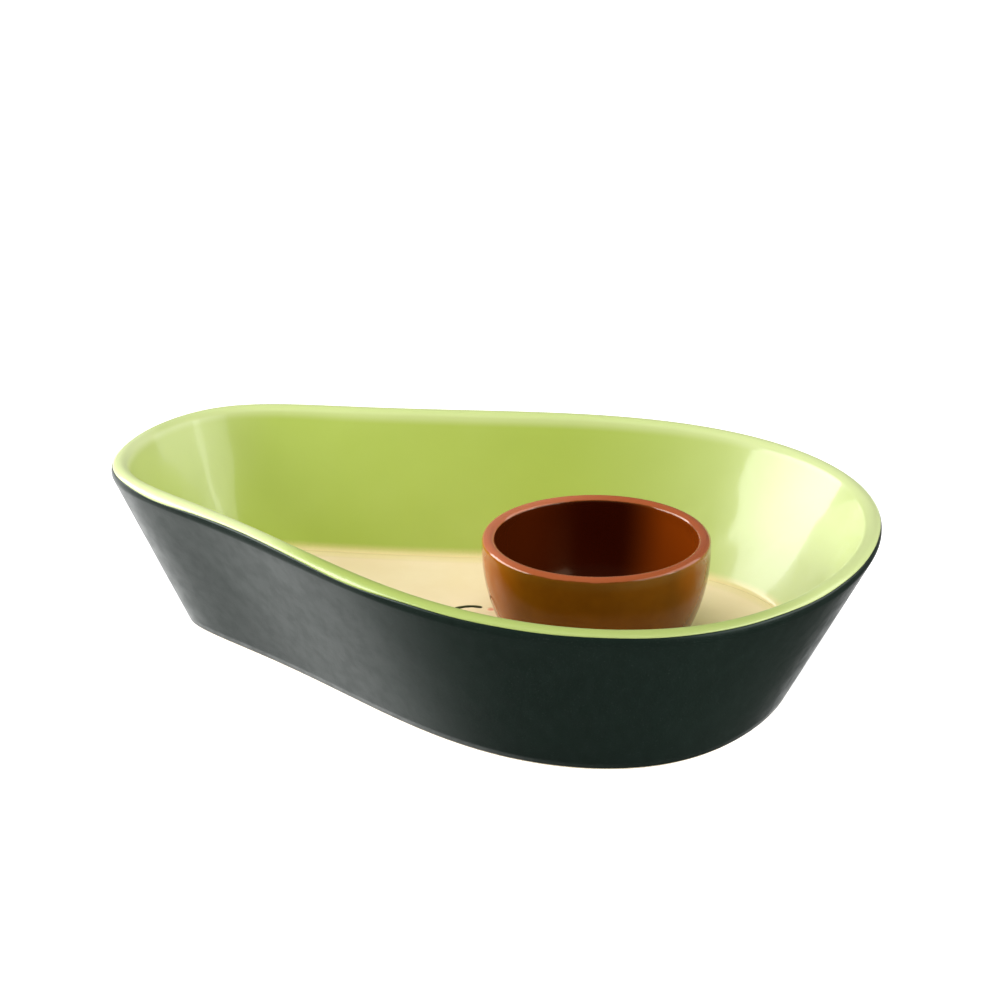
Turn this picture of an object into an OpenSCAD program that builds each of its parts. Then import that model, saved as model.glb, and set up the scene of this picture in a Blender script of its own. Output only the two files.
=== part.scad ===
// Glazed chip and dip server: a pear-shaped dish with sloping walls, and a round
// dip bowl that stands loose on the dish floor at its wide end.
// +X points to the wide end, +Z is up, and the origin lies on the table under the
// middle of the dish. Lengths are in millimetres, angles in degrees.

/* [Dish outline] */
// Overall length of the dish, along X
dish_length = 340; // [300:5:380]
// Half the width of the rim at the middle of the length
half_width = 108.9; // [95:0.1:115]
// Extra width towards the wide end, taken off towards the narrow end
pear_lean = 0.5; // [0.4:0.01:0.55]
// How far that lean eases off near the ends, which keeps the flanks nearly straight
lean_easing = 0.297; // [0.15:0.001:0.35]
// How full and round both ends are
end_fullness = 0.33; // [0.1:0.005:0.4]

/* [Dish section] */
// Height of the rim above the table at the middle of the length
rim_height = 76.6; // [60:0.1:90]
// How far the rim falls from the middle of the length to the ends
end_fall = 2.1; // [0:0.1:6]
// How much lower the rim is at the wide end than at the narrow end, halved
rim_tilt = 1; // [0:0.1:2]
// Mean inset of the base edge from the rim, which sets the slope of the wall
base_inset = 34; // [28:0.1:40]
// Extra inset at the wide end, taken off at the narrow end
inset_lean = 2; // [0:0.1:3]
// Radius of the rim, half the thickness of the wall
rim_r = 4.1; // [3:0.1:5]
// Height of the eating surface above the table
floor_z = 17; // [14:0.5:19]
// Radius of the fillet between wall and floor
fillet_r = 5; // [3:0.5:8]
// Depth of the recess inside the foot ring
recess_depth = 9; // [4:0.5:9]
// Width of the foot ring at the table
foot_width = 8; // [6:0.5:12]
// Radius of the outer edge of the foot ring
foot_edge_r = 1; // [0.8:0.1:1.5]

/* [Glaze] */
// Thickness of a fired glaze coat
glaze = 0.4; // [0.3:0.05:0.6]
// Height of the bare clay left above the table or the dish floor
dry_foot = 0.9; // [0.9:0.1:3]
// Angle round the rim where the outer colour meets the wall colour, 90 is the crest
rim_seam = 146; // [110:1:170]
// Angle round the fillet where the wall colour meets the floor colour, 270 is the floor
floor_seam = 233; // [228:1:260]

/* [Dip bowl] */
// Distance from the middle of the dish to the middle of the dip bowl
bowl_x = 54; // [50:0.1:60]
// Radius of the bowl where it is widest
bowl_r = 47.9; // [40:0.1:50]
// Height of the bowl
bowl_height = 49.5; // [40:0.1:55]
// Radius of the upright curve of its side
side_r = 76; // [65:1:90]
// How far the widest level lies below the rim
widest_drop = 5; // [4:0.5:8]
// Radius of the rounded lip, half the thickness of the side
lip_r = 2.7; // [2:0.1:3]
// Thickness of the bottom, foot included
bottom_thickness = 7; // [6:0.5:9]
// Radius between side and bottom inside the bowl
hollow_r = 20; // [14:1:24]
// Width of the bowl's foot ring
bowl_foot_width = 5; // [4:0.5:7]
// Depth of the recess inside the bowl's foot ring
bowl_recess = 1.5; // [1:0.5:2.5]

/* [Painted mark] */
// Half the width of the painted arc, across the dish
arc_half_width = 12.9; // [11:0.1:15]
// Depth of the painted arc, along X
arc_depth = 10.1; // [9:0.1:12]
// Where the two ends of the arc lie, along X
arc_end_x = -7.2; // [-9:0.1:-7]
// Width of the brush stroke
stroke = 2.5; // [1.2:0.1:2.8]
// Radius of each blush spot
blush_r = 2.4; // [1.5:0.1:2.5]
// Where the blush spots lie, along X
blush_x = -1.6; // [-2:0.1:0]
// How far the blush spots lie from the middle line
blush_y = 12.8; // [12:0.1:16]
// Thickness of the fired paint
paint = 0.2; // [0.15:0.05:0.3]

/* [Hidden] */
around = 80;        // points round the dish
arc_steps = 16;     // steps along one half of the painted arc
recess_r = 3;       // radius at the top of the recess wall
recess_draft = 12;  // slope of the recess wall from the vertical
bowl_edge_r = 1.2;  // radius of the outer edge of the bowl's foot
$fn = 96;

// ---- Outline of the rim, as a function of the angle t ----

function swell(c) = 1 + pear_lean * c - lean_easing * c^3 + end_fullness * c^4;
function swell_slope(c) = pear_lean - 3 * lean_easing * c^2 + 4 * end_fullness * c^3;
function outline(t) = [dish_length / 2 * cos(t), half_width * sin(t) * swell(cos(t))];
function tangent(t) = [-dish_length / 2 * sin(t),
    half_width * (cos(t) * swell(cos(t)) - sin(t)^2 * swell_slope(cos(t)))];
function inward(t) = let (d = tangent(t)) [-d.y, d.x] / norm(d);

// ---- Cross-section of the wall at t: [distance inside the rim outline, height] ----

function rim_z(t) = rim_height - end_fall * cos(t)^2 - rim_tilt * cos(t);
function base_in(t) = base_inset + inset_lean * cos(t);
// Slope of the wall from the vertical, from a tangent to the rim circle
function draft(t) = let (d = [base_in(t) - rim_r, rim_z(t) - rim_r])
    atan2(d.x, d.y) + asin(rim_r / norm(d));
function arc(centre, r, a0, a1, steps) =
    [for (i = [0 : steps]) let (a = a0 + (a1 - a0) * i / steps) centre + r * [cos(a), sin(a)]];
// Rim from angle a0 to a1, lying the depth g under the finished glaze
function rim(t, g, a0, a1, steps) = arc([rim_r, rim_z(t) - rim_r], rim_r - g, a0, a1, steps);
function outer_at(t, g, z) = [base_in(t) - z * tan(draft(t)) + g / cos(draft(t)), z];
function inner_at(t, g, z) = outer_at(t, 2 * rim_r - g, z);
// Fillet from angle a0 to a1, whose centre stays put as the depth g grows
function fillet(t, g, a0, a1, steps) = let (z = floor_z + fillet_r, d = draft(t))
    arc([inner_at(t, 0, z)[0] + fillet_r / cos(d), z], fillet_r + g, a0, a1, steps);

function floor_edge(t) = fillet(t, glaze, 270, floor_seam, 1)[0];
// Up the inner wall from the floor seam to the rim seam, a depth g under the finished face
function wall_inside(t, g) = concat(
    fillet(t, g, floor_seam, 180 + draft(t), 3),
    rim(t, g, draft(t), rim_seam, 5));
// On from the rim seam and down the outside to the dry foot
function wall_outside(t, g) = concat(
    rim(t, g, rim_seam, 180 + draft(t), 3),
    [outer_at(t, g, dry_foot)]);
// Rounded outer edge of the foot, the foot itself and the recess inside it
function foot(t) = let (a = draft(t), b = outer_at(t, glaze, 0)[0],
                        c = [b + foot_edge_r * tan(45 - a / 2), foot_edge_r],
                        ring = base_in(t) + foot_width,
                        top = ring + (recess_depth - recess_r) * tan(recess_draft))
    concat(arc(c, foot_edge_r, 180 + a, 270, 3),
           [[ring, 0]],
           arc([top + recess_r, recess_depth - recess_r], recess_r, 180 - recess_draft, 90, 3));

// ---- Solids swept round the dish ----

function place(t, p) = let (q = outline(t) + inward(t) * p[0]) [q.x, q.y, p[1]];
// One triangle pair for each step round and along; turned swaps inside and outside
function band(i, k, turned) = [for (j = [0 : around - 1])
    let (n = (j + 1) % around,
         a = i * around + j, b = i * around + n, c = k * around + n, d = k * around + j)
    each turned ? [[a, c, b], [a, d, c]] : [[a, b, c], [a, c, d]]];
function points(sections) = [for (i = [0 : len(sections[0]) - 1])
    for (j = [0 : around - 1]) place(360 * j / around, sections[j][i])];

// A body closed by a flat top and a flat bottom, from sections that run from top to bottom
module capped(sections) {
    last = len(sections[0]) - 1;
    polyhedron(points(sections), concat(
        [[for (j = [around - 1 : -1 : 0]) j]],
        [for (i = [0 : last - 1]) each band(i, i + 1, false)],
        [[for (j = [0 : around - 1]) last * around + j]]));
}

// A coat between two faces that run the same way, first the one on the clay
module coat(inner, finished) {
    sections = [for (j = [0 : around - 1]) concat(inner[j], reverse(finished[j]))];
    last = len(sections[0]) - 1;
    polyhedron(points(sections),
        [for (i = [0 : last]) each band(i, i == last ? 0 : i + 1, true)]);
}

function reverse(v) = [for (i = [len(v) - 1 : -1 : 0]) v[i]];
function without_first(v) = [for (i = [1 : len(v) - 1]) v[i]];
function steps_round() = [for (j = [0 : around - 1]) 360 * j / around];

// Fired clay of the dish, with a flat foot ring and a recess under the floor
module dish_body() {
    color("#e9dfc9") capped([for (t = steps_round()) concat(
        [floor_edge(t)], wall_inside(t, glaze),
        without_first(wall_outside(t, glaze)), foot(t))]);
}

// Dark green coat on the outside of the wall
module dish_outer_glaze() {
    color("#38463e") coat([for (t = steps_round()) wall_outside(t, glaze)],
                          [for (t = steps_round()) wall_outside(t, 0)]);
}

// Lime green coat over the rim and down the inside of the wall
module dish_wall_glaze() {
    color("#b8c456") coat([for (t = steps_round()) wall_inside(t, glaze)],
                          [for (t = steps_round()) wall_inside(t, 0)]);
}

// Cream coat on the floor
module dish_floor_glaze() {
    color("#f2e4b7") capped([for (t = steps_round()) concat(
        fillet(t, 0, 270, floor_seam, 1), fillet(t, glaze, floor_seam, 270, 1))]);
}

// ---- Painted mark on the floor ----

// Half an ellipse, with a from -90 at one end to 90 at the other
function arc_line(a) = [arc_end_x - arc_depth * cos(a), arc_half_width * sin(a)];
// Point beside the line at a, half a stroke away on the given side
function arc_side(a, side) = let (h = [arc_depth * sin(a), arc_half_width * cos(a)])
    arc_line(a) + side * stroke / 2 * [h.y, -h.x] / norm(h);

// Black arc that opens towards the dip bowl, with round ends
module painted_arc() {
    angles = [for (i = [-arc_steps : arc_steps]) 90 * i / arc_steps];
    color("#1d1c1a") translate([0, 0, floor_z]) linear_extrude(paint) polygon(concat(
        [for (a = angles) arc_side(a, 1)],
        arc(arc_line(90), stroke / 2, -75, 75, 5),
        [for (a = reverse(angles)) arc_side(a, -1)],
        arc(arc_line(-90), stroke / 2, -75, 75, 5)));
}

// Two blush spots just past the ends of the arc
module painted_blush() {
    color("#e59a86") for (side = [-1, 1])
        translate([blush_x, side * blush_y, floor_z]) cylinder(r = blush_r, h = paint);
}

// ---- Dip bowl, turned about its own axis ----

side_centre = [bowl_r - side_r, bowl_height - widest_drop];
lip_z = bowl_height - lip_r;
lip_x = side_centre.x + sqrt((side_r - lip_r)^2 - (lip_z - side_centre.y)^2);
lip_angle = atan2(lip_z - side_centre.y, lip_x - side_centre.x);
hollow_z = bottom_thickness + hollow_r;
hollow_x = side_centre.x
    + sqrt((side_r - 2 * lip_r - hollow_r)^2 - (hollow_z - side_centre.y)^2);
hollow_angle = atan2(hollow_z - side_centre.y, hollow_x - side_centre.x);
function side_angle(z, r) = asin((z - side_centre.y) / r);

// Side from the dry foot up, over the lip and down to the middle of the hollow
function bowl_face(g) = concat(
    arc(side_centre, side_r - g, side_angle(dry_foot, side_r - g), lip_angle, 14),
    arc([lip_x, lip_z], lip_r - g, lip_angle, lip_angle + 180, 12),
    arc(side_centre, side_r - 2 * lip_r + g, lip_angle, hollow_angle, 8),
    arc([hollow_x, hollow_z], hollow_r + g, hollow_angle, -90, 8),
    [[0, bottom_thickness - g]]);
bowl_foot_r = side_centre.x + sqrt((side_r - glaze)^2 - side_centre.y^2);
function bowl_foot() = [
    [0, bowl_recess],
    [bowl_foot_r - bowl_foot_width, bowl_recess],
    [bowl_foot_r - bowl_foot_width, 0],
    [bowl_foot_r - bowl_edge_r, 0]];

// Fired clay of the bowl, with a low foot ring
module bowl_body() {
    color("#b5714c") translate([bowl_x, 0, floor_z])
        rotate_extrude() polygon(concat(bowl_foot(), bowl_face(glaze)));
}

// Brown coat over all of the bowl but its foot
module bowl_glaze() {
    color("#6b3a0a") translate([bowl_x, 0, floor_z])
        rotate_extrude() polygon(concat(bowl_face(0), reverse(bowl_face(glaze))));
}

dish_body();
dish_outer_glaze();
dish_wall_glaze();
dish_floor_glaze();
painted_arc();
painted_blush();
bowl_body();
bowl_glaze();
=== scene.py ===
import math

import bpy
import numpy as np
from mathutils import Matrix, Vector


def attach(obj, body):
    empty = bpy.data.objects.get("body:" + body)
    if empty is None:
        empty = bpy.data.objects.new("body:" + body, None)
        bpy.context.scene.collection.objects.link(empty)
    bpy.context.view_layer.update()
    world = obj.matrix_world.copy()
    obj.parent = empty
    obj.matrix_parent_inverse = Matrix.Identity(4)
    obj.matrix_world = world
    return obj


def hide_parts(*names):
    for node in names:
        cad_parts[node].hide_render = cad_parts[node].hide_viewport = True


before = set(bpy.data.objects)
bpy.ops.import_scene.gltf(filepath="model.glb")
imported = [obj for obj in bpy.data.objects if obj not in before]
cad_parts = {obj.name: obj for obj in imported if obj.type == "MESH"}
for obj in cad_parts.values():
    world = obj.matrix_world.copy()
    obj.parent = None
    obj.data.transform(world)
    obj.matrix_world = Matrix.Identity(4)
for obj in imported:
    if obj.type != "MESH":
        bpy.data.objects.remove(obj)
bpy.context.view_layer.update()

# ---------------------------------------------------------------------------
# Driving dimensions, in millimetres and degrees. They repeat the CAD model's, with
# the rim a hair lower, so its finer crest stays in the CAD model's box.
# ---------------------------------------------------------------------------
MM = 0.001

LENGTH, HALF_WIDTH = 340, 108.9
PEAR_LEAN, LEAN_EASING, END_FULLNESS = 0.5, 0.297, 0.33
RIM_HEIGHT, END_FALL, RIM_TILT = 76.55, 2.1, 1.0
BASE_INSET, INSET_LEAN = 34, 2
RIM_R = 4.1
FLOOR_Z, FILLET_R = 17, 5
RECESS_DEPTH, RECESS_R, RECESS_DRAFT = 9, 3, 12
FOOT_WIDTH, FOOT_EDGE_R, FOOT_INNER_R = 8, 1, 1
GLAZE, DRY_FOOT = 0.4, 0.9
RIM_SEAM, FLOOR_SEAM = 146, 233
# Places where the green starts lower on the rim: degrees, t and spread in t
SEAM_SAGS = [(16, 3.93, 0.17), (20, 4.66, 0.155)]

BOWL_X, BOWL_R, BOWL_HEIGHT = 54, 47.9, 49.5
SIDE_R, WIDEST_DROP, LIP_R = 76, 5, 2.7
BOTTOM, HOLLOW_R = 7, 20
BOWL_FOOT_WIDTH, BOWL_RECESS, BOWL_EDGE_R = 5, 1.5, 1.2
BOWL_RECESS_EDGE, BOWL_FOOT_BEVEL = 0.6, 0.4
BOWL_EDGE_END = -0.5            # radians, where the foot's edge meets the side
BOWL_CAP_RADII = [15, 10, 5, 1]     # rings across the middle of the hollow

ARC_HALF_WIDTH, ARC_DEPTH, ARC_END_X = 12.9, 10.1, -7.2
STROKE, PAINT = 2.5, 0.2
BLUSH_R, BLUSH_X, BLUSH_Y = 2.4, -1.6, 12.8
PAINT_DEPTH = 0.05              # how far the paint's underside sits in the glaze

# Unevenness that only the visible model has
OUTER_INSET = 0.15              # keeps the uneven outside in the CAD model's box
OUTER_RIPPLE, WALL_RIPPLE = 0.1, 0.3
SEAM_BEAD = (0.12, 0.7, 0.6)    # height, distance from the edge, and spread
FOOT_BEAD = (0.1, 0.6, 0.5)

AROUND = 320            # points round the dish
BOWL_AROUND = 192       # points round the dip bowl
WALL_STEPS = 22         # steps along each part of the dish's section
FILLET_STEPS = 10
RIM_INSIDE_STEPS, RIM_OUTSIDE_STEPS = 14, 10
FLOOR_EDGE_STEPS = 6


# ---------------------------------------------------------------------------
# The dish's shape. t runs round the dish, in radians, in a column of values.
# A section is a pair of arrays: distance inside the rim outline, and height.
# ---------------------------------------------------------------------------
def swell(c):
    """How much wider the dish is than an ellipse, where the cosine of t is c."""
    return 1 + PEAR_LEAN * c - LEAN_EASING * c**3 + END_FULLNESS * c**4


def outline(t):
    c = np.cos(t)
    return LENGTH / 2 * c, HALF_WIDTH * np.sin(t) * swell(c)


def inward(t):
    """The level direction into the dish, square to the outline."""
    c, s = np.cos(t), np.sin(t)
    slope = PEAR_LEAN - 3 * LEAN_EASING * c**2 + 4 * END_FULLNESS * c**3
    dx, dy = -LENGTH / 2 * s, HALF_WIDTH * (c * swell(c) - s**2 * slope)
    n = np.hypot(dx, dy)
    return -dy / n, dx / n


def rim_z(t):
    return RIM_HEIGHT - END_FALL * np.cos(t) ** 2 - RIM_TILT * np.cos(t)


def base_in(t):
    return BASE_INSET + INSET_LEAN * np.cos(t)


def draft(t):
    """The wall's lean from upright, in radians."""
    run, rise = base_in(t) - RIM_R, rim_z(t) - RIM_R
    return np.arctan2(run, rise) + np.arcsin(RIM_R / np.hypot(run, rise))


def arc(centre_s, centre_z, r, a0, a1, steps):
    a = a0 + (a1 - a0) * np.linspace(0, 1, steps + 1)
    return centre_s + r * np.cos(a), centre_z + r * np.sin(a)


def line(start, end, steps):
    """Points between two ends, without the ends themselves."""
    k = np.linspace(0, 1, steps + 1)[1:-1]
    return start[0] + (end[0] - start[0]) * k, start[1] + (end[1] - start[1]) * k


def join(*parts):
    """One section from several, end to end."""
    shape = (max(p[0].shape[0] for p in parts),)
    wide = [[np.broadcast_to(q, shape + q.shape[-1:]) for q in p] for p in parts]
    return tuple(np.concatenate([p[i] for p in wide], axis=1) for i in (0, 1))


def rim(t, g, a0, a1, steps):
    return arc(RIM_R + 0 * t, rim_z(t) - RIM_R, RIM_R - g, a0, a1, steps)


def outer_at(t, g, z):
    """The point at height z on the outer wall, a depth g under its face."""
    return base_in(t) - z * np.tan(draft(t)) + g / np.cos(draft(t)), z + 0 * t


def fillet(t, g, a0, a1, steps):
    z = FLOOR_Z + FILLET_R
    wall = outer_at(t, 2 * RIM_R, z)[0]
    return arc(wall + FILLET_R / np.cos(draft(t)), z + 0 * t, FILLET_R + g,
               a0, a1, steps)


def first(section):
    return section[0][:, :1], section[1][:, :1]


def last(section):
    return section[0][:, -1:], section[1][:, -1:]


def hump(x, height, centre, spread):
    return height * np.exp(-((x - centre) / spread) ** 2)


def rim_seam(t):
    """Where the outer colour stops on the rim: a hand-cut line that wanders."""
    wander = (2.0 * np.sin(5 * t + 1) + 1.3 * np.sin(11 * t + 2.5)
              + 0.8 * np.sin(23 * t))
    for sag in SEAM_SAGS:
        wander = wander + hump(t, *sag)
    return np.radians(RIM_SEAM + wander)


def wall_inside(t, g):
    """From the floor seam up the wall to the rim seam, a depth g under the face."""
    low = fillet(t, g, math.radians(FLOOR_SEAM), math.pi + draft(t), FILLET_STEPS)
    top = rim(t, g, draft(t), rim_seam(t), RIM_INSIDE_STEPS)
    return join(low, line(last(low), first(top), WALL_STEPS), top)


def wall_outside(t, g):
    """On from the rim seam and down the outside to the dry foot."""
    top = rim(t, g, rim_seam(t), math.pi + draft(t), RIM_OUTSIDE_STEPS)
    end = outer_at(t, g, DRY_FOOT)
    return join(top, line(last(top), end, WALL_STEPS), end)


def foot(t):
    """The bare clay edge of the foot, its ring and the recess behind it."""
    a = draft(t)
    edge = outer_at(t, GLAZE, 0)[0] + FOOT_EDGE_R * np.tan(math.pi / 4 - a / 2)
    ring = base_in(t) + FOOT_WIDTH
    lean = math.radians(RECESS_DRAFT)
    top = ring + (RECESS_DEPTH - RECESS_R) * math.tan(lean)
    return join(
        arc(edge, FOOT_EDGE_R + 0 * t, FOOT_EDGE_R, math.pi + a, 1.5 * math.pi, 6),
        arc(ring - FOOT_INNER_R, FOOT_INNER_R + 0 * t, FOOT_INNER_R,
            -math.pi / 2, -lean, 4),
        arc(top + RECESS_R, RECESS_DEPTH - RECESS_R + 0 * t, RECESS_R,
            math.pi - lean, math.pi / 2, 6),
    )


# ---------------------------------------------------------------------------
# Meshes
# ---------------------------------------------------------------------------
def make_object(name, points, faces, layers=()):
    """A smooth mesh, from points in millimetres. layers holds pairs (name, values)."""
    mesh = bpy.data.meshes.new(name)
    mesh.from_pydata((np.asarray(points) * MM).tolist(), [], faces)
    mesh.shade_smooth()
    for layer, values in layers:
        data = mesh.attributes.new(layer, "FLOAT", "POINT").data
        data.foreach_set("value", np.asarray(values, dtype=np.float32))
    obj = bpy.data.objects.new(name, mesh)
    bpy.context.scene.collection.objects.link(obj)
    return obj


def grid_faces(rows, cols, loop_rows):
    """Quads over a grid of rows round the piece, whose columns close on themselves."""
    faces = []
    for i in range(rows if loop_rows else rows - 1):
        k = (i + 1) % rows
        for j in range(cols):
            n = (j + 1) % cols
            faces.append((i * cols + j, k * cols + j, k * cols + n, i * cols + n))
    return faces


def place(t, section):
    """Puts a section's points round the dish, in rows that run round it."""
    x, y = outline(t)
    nx, ny = inward(t)
    s, z = section
    return np.stack([x + nx * s, y + ny * s, z + 0 * s], axis=-1).transpose(1, 0, 2)


def capped_points(rows, centre, shrink):
    """Adds rings that shrink to a centre above the first row and below the last."""
    def rings(row, factors):
        middle = np.array([centre[0], centre[1], row[0, 2]])
        return [middle + (row - middle) * k for k in factors]
    head = rings(rows[0], shrink[::-1])
    tail = rings(rows[-1], shrink)
    return np.concatenate([head, rows, tail])


def capped_faces(rows, cols):
    """Quads over a grid, with one face across its first row and one across its last."""
    faces = grid_faces(rows, cols, False)
    faces.append(tuple(range(cols)))
    faces.append(tuple((rows - 1) * cols + j for j in range(cols - 1, -1, -1)))
    return faces


def distance_along(section):
    """How far each point is from the section's start."""
    s, z = section
    step = np.hypot(np.diff(s, axis=1), np.diff(z, axis=1))
    return np.concatenate([np.zeros((s.shape[0], 1)), np.cumsum(step, axis=1)], axis=1)


T = (np.arange(AROUND) * 2 * math.pi / AROUND)[:, None]
CENTRE = (10, 0)


def ripple(t, section, depth):
    """Slow unevenness of a cast and glazed wall, fading out at its top and bottom."""
    s, z = section
    up = np.clip((z - FLOOR_Z) / (RIM_HEIGHT - FLOOR_Z), 0, 1)
    fade = np.sin(math.pi * up) ** 0.7
    wave = (0.55 * np.sin(9 * t + 4 * up + 0.6) * np.sin(5 * up + 2 * np.sin(3 * t))
            + 0.30 * np.sin(17 * t - 6 * up + 1.9)
            + 0.25 * np.sin(29 * t + 9 * up + 3.1) * np.cos(7 * up + t))
    return s + depth * fade * wave, z


def dish_body():
    section = join(fillet(T, GLAZE, 1.5 * math.pi, math.radians(FLOOR_SEAM), 4),
                   wall_inside(T, GLAZE), wall_outside(T, GLAZE), foot(T))
    rows = capped_points(place(T, section), CENTRE, [0.9, 0.6, 0.3, 0.05])
    return make_object("clay_of_dish", rows.reshape(-1, 3),
                       capped_faces(rows.shape[0], AROUND))


def coat(name, clay, finished, layers=()):
    """A closed glaze coat between the clay face and the finished face."""
    rows = place(T, join(finished, (clay[0][:, ::-1], clay[1][:, ::-1])))
    return make_object(name, rows.reshape(-1, 3),
                       grid_faces(rows.shape[0], AROUND, True), layers)


def outer_coat():
    s, z = wall_outside(T, 0)
    along = distance_along((s, z))
    beads = hump(along, *SEAM_BEAD) + hump(along[:, -1:] - along, *FOOT_BEAD)
    face = ripple(T, (s + OUTER_INSET - beads, z), OUTER_RIPPLE)
    return coat("dark_green_coat", wall_outside(T, GLAZE), face)


def wall_coat():
    face = ripple(T, wall_inside(T, 0), WALL_RIPPLE)
    along = distance_along(face)
    from_seam = np.concatenate([along, along[:, ::-1]], axis=1).T
    return coat("lime_coat", wall_inside(T, GLAZE), face,
                [("from_seam", from_seam.ravel())])


def floor_coat():
    seam, level = math.radians(FLOOR_SEAM), 1.5 * math.pi
    top = fillet(T, 0, level, seam, FLOOR_EDGE_STEPS)
    bottom = fillet(T, GLAZE, seam, level, FLOOR_EDGE_STEPS)
    shrink = [0.985, 0.96, 0.92, 0.85, 0.7, 0.45, 0.2, 0.04]
    rows = capped_points(place(T, join(top, bottom)), CENTRE, shrink)
    edge = rows[len(shrink) + FLOOR_EDGE_STEPS][None]
    reach = np.hypot(rows[..., 0] - edge[..., 0], rows[..., 1] - edge[..., 1])
    return make_object("cream_coat", rows.reshape(-1, 3),
                       capped_faces(rows.shape[0], AROUND),
                       [("from_seam", reach.ravel())])


# ---------------------------------------------------------------------------
# Dip bowl
# ---------------------------------------------------------------------------
SIDE = (BOWL_R - SIDE_R, BOWL_HEIGHT - WIDEST_DROP)
LIP_Z = BOWL_HEIGHT - LIP_R
LIP_X = SIDE[0] + math.sqrt((SIDE_R - LIP_R) ** 2 - (LIP_Z - SIDE[1]) ** 2)
LIP_ANGLE = math.atan2(LIP_Z - SIDE[1], LIP_X - SIDE[0])
HOLLOW_Z = BOTTOM + HOLLOW_R
HOLLOW_X = SIDE[0] + math.sqrt((SIDE_R - 2 * LIP_R - HOLLOW_R) ** 2
                               - (HOLLOW_Z - SIDE[1]) ** 2)
HOLLOW_ANGLE = math.atan2(HOLLOW_Z - SIDE[1], HOLLOW_X - SIDE[0])
LIP_SQUARENESS = 2.5    # 2 is a round lip, and more is flatter on top
LIP_REACH = 1.06        # the most that a point stands out past a round lip


def flat_arc(centre, r, a0, a1, steps):
    return [np.array([centre[0] + r * math.cos(a), centre[1] + r * math.sin(a)])
            for a in np.linspace(a0, a1, steps + 1)]


def lip(g):
    """A rounded lip with a slightly flattened top."""
    points = []
    for a in np.linspace(LIP_ANGLE, LIP_ANGLE + math.pi, 29):
        c, s = math.cos(a), math.sin(a)
        k = abs(c) ** LIP_SQUARENESS + abs(s) ** LIP_SQUARENESS
        k = min(k ** (-1 / LIP_SQUARENESS), LIP_REACH)
        points.append(np.array([LIP_X + (LIP_R - g) * k * c, LIP_Z + (LIP_R - g) * s]))
    return points


def bowl_face(g):
    """From the dry foot up the side, over the lip and across the hollow."""
    start = math.asin((DRY_FOOT - SIDE[1]) / (SIDE_R - g))
    side = flat_arc(SIDE, SIDE_R - g, start, LIP_ANGLE, 40)
    wall = flat_arc(SIDE, SIDE_R - 2 * LIP_R + g, LIP_ANGLE, HOLLOW_ANGLE, 24)
    hollow = flat_arc((HOLLOW_X, HOLLOW_Z), HOLLOW_R + g,
                      HOLLOW_ANGLE, -math.pi / 2, 14)
    points = side[:-1] + lip(g) + wall[1:] + hollow[1:]
    return points + [np.array([r, points[-1][1]]) for r in BOWL_CAP_RADII]


def spun(profile):
    """A profile turned about the bowl's axis, with a ring for each of its points."""
    profile = np.array(profile)
    a = np.arange(BOWL_AROUND) * 2 * math.pi / BOWL_AROUND
    x = BOWL_X + profile[:, :1] * np.cos(a)
    y = profile[:, :1] * np.sin(a)
    z = FLOOR_Z + np.repeat(profile[:, 1:], BOWL_AROUND, axis=1)
    return np.stack([x, y, z], axis=-1).reshape(-1, 3)


def bowl_coat():
    face, clay = bowl_face(0), bowl_face(GLAZE)
    profile = face + clay[::-1]
    below_crest = [BOWL_HEIGHT - p[1] for p in profile]
    crest = max(range(len(face)), key=lambda i: face[i][1])
    inside = [BOWL_HEIGHT - p[1] if i > crest else 0 for i, p in enumerate(face)]
    inside = inside + inside[::-1]
    # The glaze face and the clay face join at the foot. In the hollow each has a cap
    split = len(face) - 1
    quads = grid_faces(len(profile), BOWL_AROUND, False)
    faces = [f[::-1] for i, f in enumerate(quads) if i // BOWL_AROUND != split]
    last_row = (len(profile) - 1) * BOWL_AROUND
    for j in range(BOWL_AROUND):
        n = (j + 1) % BOWL_AROUND
        faces.append((n, j, last_row + j, last_row + n))
    faces.append(tuple(split * BOWL_AROUND + j for j in range(BOWL_AROUND)))
    faces.append(tuple((split + 1) * BOWL_AROUND + j
                       for j in range(BOWL_AROUND - 1, -1, -1)))
    return make_object("brown_coat", spun(profile), faces,
                       [("below_crest", np.repeat(below_crest, BOWL_AROUND)),
                        ("inside", np.repeat(inside, BOWL_AROUND))])


def bowl_body():
    foot_r = SIDE[0] + math.sqrt((SIDE_R - GLAZE) ** 2 - SIDE[1] ** 2)
    ring = foot_r - BOWL_FOOT_WIDTH
    under = [np.array(p) for p in (
        (1, BOWL_RECESS), (ring - 6, BOWL_RECESS),
        (ring - BOWL_RECESS_EDGE, BOWL_RECESS), (ring, BOWL_RECESS - BOWL_RECESS_EDGE),
        (ring, BOWL_FOOT_BEVEL), (ring + BOWL_FOOT_BEVEL, 0))]
    edge = flat_arc((foot_r - BOWL_EDGE_R, BOWL_EDGE_R), BOWL_EDGE_R,
                    -math.pi / 2, BOWL_EDGE_END, 6)
    profile = under + edge + bowl_face(GLAZE)
    faces = [f[::-1] for f in capped_faces(len(profile), BOWL_AROUND)]
    return make_object("clay_of_bowl", spun(profile), faces)


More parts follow.
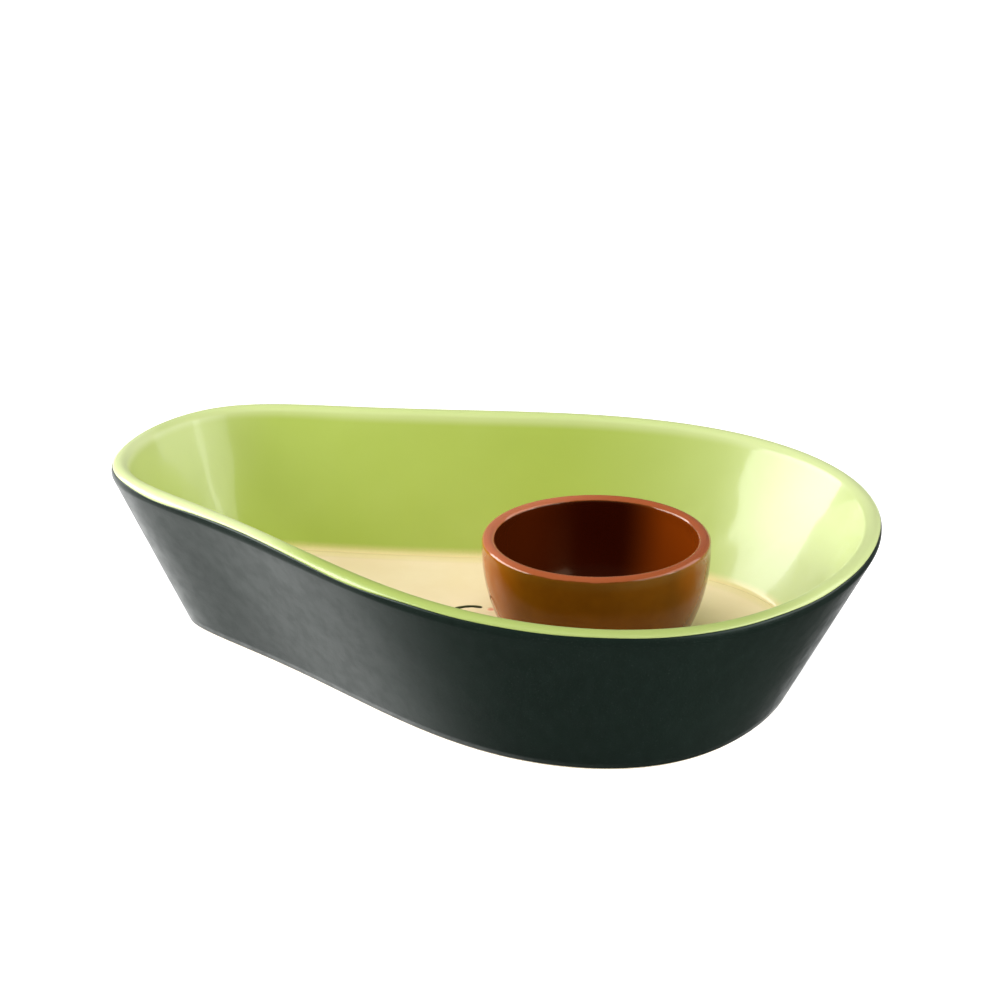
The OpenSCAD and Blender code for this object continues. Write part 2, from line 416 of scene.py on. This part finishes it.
# ---------------------------------------------------------------------------
# Painted mark: raised strokes with a domed top
# ---------------------------------------------------------------------------
def painted_arc():
    steps, across = 64, 8
    a = np.linspace(-math.pi / 2, math.pi / 2, steps + 1)
    line_x, line_y = ARC_END_X - ARC_DEPTH * np.cos(a), ARC_HALF_WIDTH * np.sin(a)
    hx, hy = ARC_DEPTH * np.sin(a), ARC_HALF_WIDTH * np.cos(a)
    n = np.hypot(hx, hy)
    hx, hy = hx / n, hy / n
    # Round ends: the stroke goes on for half its width and narrows almost to a point
    cap = STROKE / 2 * np.sin(np.linspace(0, 1, 7)[1:] * math.pi / 2 * 0.98)
    width = STROKE / 2 * np.sqrt(1 - (cap / (STROKE / 2)) ** 2)
    start = [(line_x[0] - hx[0] * c, line_y[0] - hy[0] * c, hx[0], hy[0], w)
             for c, w in zip(cap[::-1], width[::-1])]
    middle = [(x, y, dx, dy, STROKE / 2)
              for x, y, dx, dy in zip(line_x, line_y, hx, hy)]
    end = [(line_x[-1] + hx[-1] * c, line_y[-1] + hy[-1] * c, hx[-1], hy[-1], w)
           for c, w in zip(cap, width)]
    side = np.linspace(-1, 1, across + 1)
    rows = []
    for x, y, dx, dy, w in start + middle + end:
        half = w * (1 + 0.06 * math.sin(x * 1.3 + y))    # a brushed edge wavers
        dome = [FLOOR_Z + PAINT * math.sqrt(max(0, 1 - q * q)) * w / (STROKE / 2)
                for q in side]
        rows.append([(x + dy * half * q, y - dx * half * q, z)
                     for q, z in zip(side, dome)]
                    + [(x + dy * half * q, y - dx * half * q, FLOOR_Z - PAINT_DEPTH)
                       for q in side[::-1]])
    rows = np.array(rows)
    return make_object("black_stroke", rows.reshape(-1, 3),
                       capped_faces(len(rows), rows.shape[1]))


def blush_spots():
    rings, around = 9, 40
    points, faces, reach = [], [], []
    for side in (-1, 1):
        start = len(points)
        a = np.arange(around) * 2 * math.pi / around
        wobble = 1 + 0.05 * np.sin(3 * a + side) + 0.03 * np.sin(7 * a)
        for i in range(rings + 1):
            k = i / rings
            height = FLOOR_Z + PAINT * 0.6 * (1 - k**2)
            for angle, w in zip(a, wobble):
                r = max(k, 0.02) * BLUSH_R * w
                points.append((BLUSH_X + r * math.cos(angle),
                               side * BLUSH_Y + r * math.sin(angle), height))
                reach.append(k)
        for angle, w in zip(a, wobble):
            points.append((BLUSH_X + BLUSH_R * w * math.cos(angle),
                           side * BLUSH_Y + BLUSH_R * w * math.sin(angle),
                           FLOOR_Z - PAINT_DEPTH))
            reach.append(1)
        for f in capped_faces(rings + 2, around):
            faces.append(tuple(start + v for v in f[::-1]))
    return make_object("pink_blush", points, faces, [("reach", reach)])


# ---------------------------------------------------------------------------
# Materials. Places and bump distances are in metres. The layers from_seam,
# below_crest and inside are in millimetres, and reach is a share of the radius.
# ---------------------------------------------------------------------------
def srgb(r, g, b):
    """A colour given as it looks, 0 to 255, turned into light values."""
    def one(v):
        v /= 255
        return v / 12.92 if v <= 0.04045 else ((v + 0.055) / 1.055) ** 2.4
    return (one(r), one(g), one(b), 1)


class Nodes:
    """Short names for making the nodes of a material or the world."""

    def __init__(self, owner, shader="Principled BSDF", coordinates="Object"):
        owner.use_nodes = True
        self.owner, self.tree = owner, owner.node_tree
        self.shader = self.tree.nodes[shader]
        self.where = self.new("ShaderNodeTexCoord").outputs[coordinates]

    def new(self, kind, **settings):
        node = self.tree.nodes.new(kind)
        for key, value in settings.items():
            setattr(node, key, value)
        return node

    def feed(self, socket, value):
        if isinstance(value, bpy.types.NodeSocket):
            self.tree.links.new(value, socket)
        else:
            socket.default_value = value

    def set(self, **sockets):
        for key, value in sockets.items():
            self.feed(self.shader.inputs[key.replace("_", " ")], value)

    def axis(self, name):
        node = self.new("ShaderNodeSeparateXYZ")
        self.feed(node.inputs["Vector"], self.where)
        return node.outputs[name]

    def layer(self, name):
        return self.new("ShaderNodeAttribute", attribute_name=name).outputs["Fac"]

    def stretch(self, scale):
        node = self.new("ShaderNodeMapping")
        self.feed(node.inputs["Vector"], self.where)
        node.inputs["Scale"].default_value = scale
        return node.outputs["Vector"]

    def noise(self, scale, detail=2.0, where=None, roughness=0.5, distortion=0.0):
        node = self.new("ShaderNodeTexNoise")
        self.feed(node.inputs["Vector"], where or self.where)
        node.inputs["Scale"].default_value = scale
        node.inputs["Detail"].default_value = detail
        node.inputs["Roughness"].default_value = roughness
        node.inputs["Distortion"].default_value = distortion
        return node.outputs["Fac"]

    def jitter(self, scale, detail, amount):
        """Noise about zero, up to half of amount each way."""
        centred = self.math("SUBTRACT", self.noise(scale, detail), 0.5)
        return self.math("MULTIPLY", centred, amount)

    def ramp(self, value, start, end, low=0.0, high=1.0, smooth=True):
        """low where value is under start, high where it is over end."""
        node = self.new("ShaderNodeMapRange")
        if smooth:
            node.interpolation_type = "SMOOTHSTEP"
        self.feed(node.inputs["Value"], value)
        for key, number in (("From Min", start), ("From Max", end),
                            ("To Min", low), ("To Max", high)):
            node.inputs[key].default_value = number
        return node.outputs["Result"]

    def math(self, operation, a, b=0.0):
        node = self.new("ShaderNodeMath", operation=operation)
        self.feed(node.inputs[0], a)
        self.feed(node.inputs[1], b)
        return node.outputs["Value"]

    def mix(self, amount, a, b):
        node = self.new("ShaderNodeMix", data_type="RGBA")
        self.feed(node.inputs["Factor"], amount)
        self.feed(node.inputs["A"], a)
        self.feed(node.inputs["B"], b)
        return node.outputs["Result"]

    def bump(self, height, distance, strength=1.0, after=None):
        node = self.new("ShaderNodeBump")
        self.feed(node.inputs["Height"], height)
        node.inputs["Distance"].default_value = distance
        node.inputs["Strength"].default_value = strength
        if after:
            self.feed(node.inputs["Normal"], after)
        return node.outputs["Normal"]


def new_material(name):
    return Nodes(bpy.data.materials.new(name))


CREAM = srgb(248, 228, 193)
CREAM_WARM = srgb(243, 220, 180)
CREAM_DEEP = srgb(232, 214, 152)
LIME = srgb(174, 193, 92)
LIME_DEEP = srgb(167, 187, 79)
# Pale lime: glaze thinned over the crest, and painted highlight on the crest and at the
# ends
LIME_THIN_AND_HIGHLIGHT = srgb(214, 224, 168)


def lime_material():
    m = new_material("lime_glaze")
    cloud = m.ramp(m.noise(9, 3, roughness=0.6), 0.3, 0.7)
    body = m.mix(cloud, LIME, LIME_DEEP)
    # The glaze thins over the rim, whose crest is paler; a painted highlight adds to
    # it, most at the back and on the left front
    crest = m.ramp(m.axis("Z"), 0.0705, 0.0745)
    left = m.ramp(m.axis("X"), -0.07, -0.01, 1, 0)
    away = m.ramp(m.axis("Y"), -0.05, 0.04, 0.1, 0.5)
    painted_highlight_front_left = m.math("MULTIPLY", left, m.ramp(m.axis("Y"), -0.01, 0.03, 0.8, 0))
    away = m.math("MAXIMUM", away, painted_highlight_front_left)
    body = m.mix(m.math("MULTIPLY", crest, away), body, LIME_THIN_AND_HIGHLIGHT)
    # Painted light: the ends of the dish are paler, most at the right end
    ends = m.math("ADD", m.ramp(m.axis("X"), -0.01, 0.13, 0, 0.5),
                  m.ramp(m.axis("X"), -0.125, -0.165, 0, 0.25))
    body = m.mix(ends, body, LIME_THIN_AND_HIGHLIGHT)
    # Painted shade: the front of the rim is deeper in colour, except at the left end
    painted_front_shade = m.math("MULTIPLY", crest, m.ramp(m.axis("Y"), -0.07, -0.02, 0.8, 0))
    painted_front_shade = m.math("MULTIPLY", painted_front_shade, m.math("SUBTRACT", 1, left))
    body = m.mix(painted_front_shade, body, srgb(154, 171, 88))
    # Spray: cream shows through in the last few millimetres above the floor
    speck = m.jitter(2600, 1, 1.6)
    reach = m.math("ADD", m.layer("from_seam"), speck)
    spray = m.ramp(reach, -0.4, 5, 1, 0)
    body = m.mix(spray, body, CREAM_DEEP)
    orange_peel = m.bump(m.noise(330, 2), 0.00006, 0.5)
    waves = m.noise(38, 2, roughness=0.55, distortion=0.6)
    slow = m.bump(waves, 0.0011, 0.4, orange_peel)
    m.set(Base_Color=body, Roughness=0.36, IOR=1.5, Normal=slow,
          Coat_Weight=0.45, Coat_Roughness=0.09)
    return m.owner


def cream_material():
    m = new_material("cream_glaze")
    cloud = m.ramp(m.noise(22, 3, roughness=0.6), 0.3, 0.75)
    body = m.mix(cloud, CREAM, CREAM_WARM)
    speck = m.jitter(2600, 1, 2.2)
    spray = m.ramp(m.math("ADD", m.layer("from_seam"), speck), -0.5, 6, 1, 0)
    body = m.mix(m.math("MULTIPLY", spray, 0.45), body, srgb(206, 200, 104))
    peel = m.bump(m.noise(420, 2), 0.00005, 0.5)
    m.set(Base_Color=body, Roughness=0.25, IOR=1.5, Normal=peel)
    return m.owner


def green_material():
    m = new_material("dark_green_glaze")
    cloud = m.ramp(m.noise(9, 4, roughness=0.62), 0.3, 0.72)
    body = m.mix(cloud, srgb(11, 22, 17), srgb(17, 29, 23))
    brushed = m.ramp(m.noise(220, 3, m.stretch((1, 1, 0.16))), 0.35, 0.8, 0, 0.35)
    body = m.mix(brushed, body, srgb(24, 36, 31))
    speck = m.ramp(m.noise(1500, 1), 0.66, 0.74, 0, 0.35)
    body = m.mix(speck, body, srgb(58, 68, 62))
    dull = m.ramp(m.noise(160, 3), 0.3, 0.7, 0.28, 0.36)
    grain = m.bump(m.noise(1300, 2), 0.00004, 0.6)
    slow = m.bump(m.noise(60, 3, m.stretch((1, 1, 0.4))), 0.0004, 0.1, grain)
    m.set(Base_Color=body, Roughness=dull, IOR=1.5, Normal=slow,
          Specular_IOR_Level=0.35, Specular_Tint=(0.84, 1, 0.92, 1))
    return m.owner


def brown_material():
    m = new_material("brown_glaze")
    cloud = m.ramp(m.noise(45, 3, roughness=0.6), 0.3, 0.7)
    body = m.mix(cloud, srgb(112, 62, 4), srgb(100, 54, 2))
    # Painted light: the bowl's left and right sides are a lighter orange
    pale = m.math("ADD", m.ramp(m.axis("X"), 0.012, 0.046, 1, 0),
                  m.ramp(m.axis("X"), 0.097, 0.103, 0, 0.5))
    body = m.mix(pale, body, srgb(180, 92, 14))
    # Painted light and shade inside the bowl: dark in the middle, browner on the left
    # and orange on the right
    inside = m.ramp(m.layer("inside"), 1, 1.8)
    painted_inside_light_and_shade = m.mix(m.ramp(m.axis("X"), 0.046, 0.07), srgb(50, 10, 1), srgb(122, 50, 3))
    painted_inside_light_and_shade = m.mix(m.ramp(m.axis("X"), 0.012, 0.032, 0.6, 0), painted_inside_light_and_shade, srgb(86, 32, 3))
    body = m.mix(inside, body, painted_inside_light_and_shade)
    # It runs thin over the lip, where the clay shows through
    wander = m.jitter(150, 2, 0.8)
    thin = m.ramp(m.math("ADD", m.layer("below_crest"), wander), 1.1, 1.5, 1, 0)
    # Painted highlight: the clay on the lip is paler on the left
    lip_clay_and_left_highlight = m.mix(m.ramp(m.axis("X"), 0.01, 0.05),
                     srgb(184, 106, 72), srgb(156, 80, 44))
    body = m.mix(thin, body, lip_clay_and_left_highlight)
    peel = m.bump(m.noise(420, 2), 0.00006, 0.4)
    slow = m.bump(m.noise(50, 2, roughness=0.5), 0.0006, 0.3, peel)
    dull = m.math("ADD", m.ramp(thin, 0.2, 1, 0.08, 0.22),
                  m.math("MULTIPLY", inside, 0.14))
    m.set(Base_Color=body, Roughness=dull, IOR=1.35, Normal=slow,
          Specular_Tint=(1, 0.6, 0.3, 1),
          Coat_Weight=m.ramp(m.layer("below_crest"), 2.5, 7, 0.7, 0.05),
          Coat_Roughness=0.05)
    return m.owner


def clay_material(name, pale, deep):
    m = new_material(name)
    cloud = m.ramp(m.noise(60, 4, roughness=0.6), 0.3, 0.7)
    grit = m.ramp(m.noise(1400, 1), 0.62, 0.72, 0, 0.5)
    body = m.mix(grit, m.mix(cloud, pale, deep), srgb(120, 96, 70))
    rough = m.bump(m.noise(900, 4), 0.00012, 0.8)
    m.set(Base_Color=body, Roughness=0.82, IOR=1.45, Normal=rough)
    return m.owner


def paint_material():
    m = new_material("black_paint")
    body = m.mix(m.ramp(m.noise(700, 2), 0.35, 0.7), srgb(10, 9, 8), srgb(20, 17, 15))
    m.set(Base_Color=body, Roughness=0.3, IOR=1.45,
          Normal=m.bump(m.noise(500, 2), 0.00004, 0.5))
    return m.owner


def blush_material():
    m = new_material("pink_paint")
    speck = m.jitter(1700, 2, 0.9)
    soft = m.ramp(m.math("ADD", m.layer("reach"), speck), 0.2, 1.05, 1, 0)
    m.set(Base_Color=m.mix(soft, CREAM, srgb(236, 150, 132)), Roughness=0.25, IOR=1.5,
          Normal=m.bump(m.noise(420, 2), 0.00005, 0.5))
    return m.owner


# ---------------------------------------------------------------------------
# Pieces
# ---------------------------------------------------------------------------
def add_piece(obj, body, node, material):
    obj.data.materials.append(material)
    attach(obj, body)
    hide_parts(node)


dish_clay = clay_material("dish_clay", srgb(226, 214, 190), srgb(210, 194, 164))
bowl_clay = clay_material("bowl_clay", srgb(186, 116, 82), srgb(166, 96, 64))
add_piece(dish_body(), "dish", "dish_body", dish_clay)
add_piece(outer_coat(), "dish", "dish_outer_glaze",
          green_material())
add_piece(wall_coat(), "dish", "dish_wall_glaze", lime_material())
add_piece(floor_coat(), "dish", "dish_floor_glaze", cream_material())
add_piece(painted_arc(), "dish", "painted_arc", paint_material())
add_piece(blush_spots(), "dish", "painted_blush", blush_material())
add_piece(bowl_body(), "dip_bowl", "bowl_body", bowl_clay)
add_piece(bowl_coat(), "dip_bowl", "bowl_glaze", brown_material())


# ---------------------------------------------------------------------------
# Floor, light and camera. The camera is the one that the photo was fitted with.
# ---------------------------------------------------------------------------
FLOOR_HALF = 8                  # metres
LIGHTS_FACE = Vector((0, 0, 0.04))
TABLE_FALLOFF = 3.6
CAMERA_AZIMUTH, CAMERA_ELEVATION = 26.483, 21.685       # degrees
CAMERA_TARGET, CAMERA_DISTANCE = (-74.253, 167.248, 0), 1671.979    # millimetres
SENSOR_WIDTH, LENS = 36, 125.657


def direction(azimuth, elevation):
    """The way out from the dish. Azimuth 0 is the front, and both are in degrees."""
    a, e = math.radians(azimuth), math.radians(elevation)
    return Vector((math.sin(a) * math.cos(e), -math.cos(a) * math.cos(e), math.sin(e)))


def floor():
    h = FLOOR_HALF
    mesh = bpy.data.meshes.new("studio_floor")
    mesh.from_pydata([(-h, -h, 0), (h, -h, 0), (h, h, 0), (-h, h, 0)],
                     [], [(0, 1, 2, 3)])
    obj = bpy.data.objects.new("studio_floor", mesh)
    bpy.context.scene.collection.objects.link(obj)
    m = new_material("studio_floor")
    shade = m.mix(m.noise(3, 2), (0.54, 0.54, 0.54, 1), (0.56, 0.56, 0.56, 1))
    m.set(Base_Color=shade, Roughness=0.85, IOR=1.3,
          Emission_Color=(1, 1, 1, 1), Emission_Strength=0.92)
    mesh.materials.append(m.owner)
    obj.visible_glossy = False    # the glaze mirrors the world's table instead


def softbox(name, azimuth, elevation, distance, size, radiance, mirrored=True):
    """A rectangular light that faces the dish, with its place as in direction()."""
    light = bpy.data.lights.new(name, "AREA")
    light.shape = "RECTANGLE"
    light.size, light.size_y = size
    light.energy = radiance * math.pi * size[0] * size[1]
    obj = bpy.data.objects.new(name, light)
    away = direction(azimuth, elevation)
    obj.location = away * distance + LIGHTS_FACE
    obj.rotation_mode = "QUATERNION"
    obj.rotation_quaternion = away.to_track_quat("Z", "Y")
    obj.visible_glossy = mirrored
    bpy.context.scene.collection.objects.link(obj)


def surroundings(sky, table_left, table_right):
    """A dim even sky, over a table that a glazed side mirrors brighter on the left."""
    w = Nodes(bpy.data.worlds.new("studio"), "Background", "Generated")
    back_left = w.math("SUBTRACT", w.axis("Y"), w.axis("X"))
    lit = w.ramp(back_left, 0.1, 1, 0, 1, smooth=False)
    lit = w.math("MULTIPLY", w.math("POWER", lit, TABLE_FALLOFF),
                 w.ramp(w.axis("X"), 0.05, -0.3, 0, 1))
    table = w.ramp(lit, 0, 1, table_right, table_left, smooth=False)
    above = w.ramp(w.axis("Z"), -0.12, 0.02)
    strength = w.math("ADD", w.math("MULTIPLY", above, sky),
                      w.math("MULTIPLY", w.math("SUBTRACT", 1, above), table))
    w.set(Strength=strength)
    w.shader.inputs["Color"].default_value = (1, 1, 1, 1)
    w.owner.cycles.sampling_method = "NONE"
    bpy.context.scene.world = w.owner


def camera():
    back = direction(CAMERA_AZIMUTH, CAMERA_ELEVATION)
    data = bpy.data.cameras.new("camera")
    data.sensor_width, data.lens = SENSOR_WIDTH, LENS
    data.clip_start, data.clip_end = 0.05, 50
    obj = bpy.data.objects.new("camera", data)
    obj.location = Vector(CAMERA_TARGET) * MM + back * (CAMERA_DISTANCE * MM)
    obj.rotation_mode = "QUATERNION"
    obj.rotation_quaternion = (-back).to_track_quat("-Z", "Y")
    bpy.context.scene.collection.objects.link(obj)
    bpy.context.scene.camera = obj


floor()
surroundings(0.12, 1.85, 0.09)
softbox("left_softbox", -73, 20, 1.5, (1.6, 0.65), 8.0)
softbox("right_panel", 106, 22, 1.6, (2.6, 1.3), 2.1)
softbox("right_strip", 103, 19, 1.5, (0.2, 0.6), 3.5)
softbox("top_fill", 0, 66, 1.6, (1.5, 1.0), 4.6, mirrored=False)
camera()
bpy.context.scene.view_settings.view_transform = "Standard"
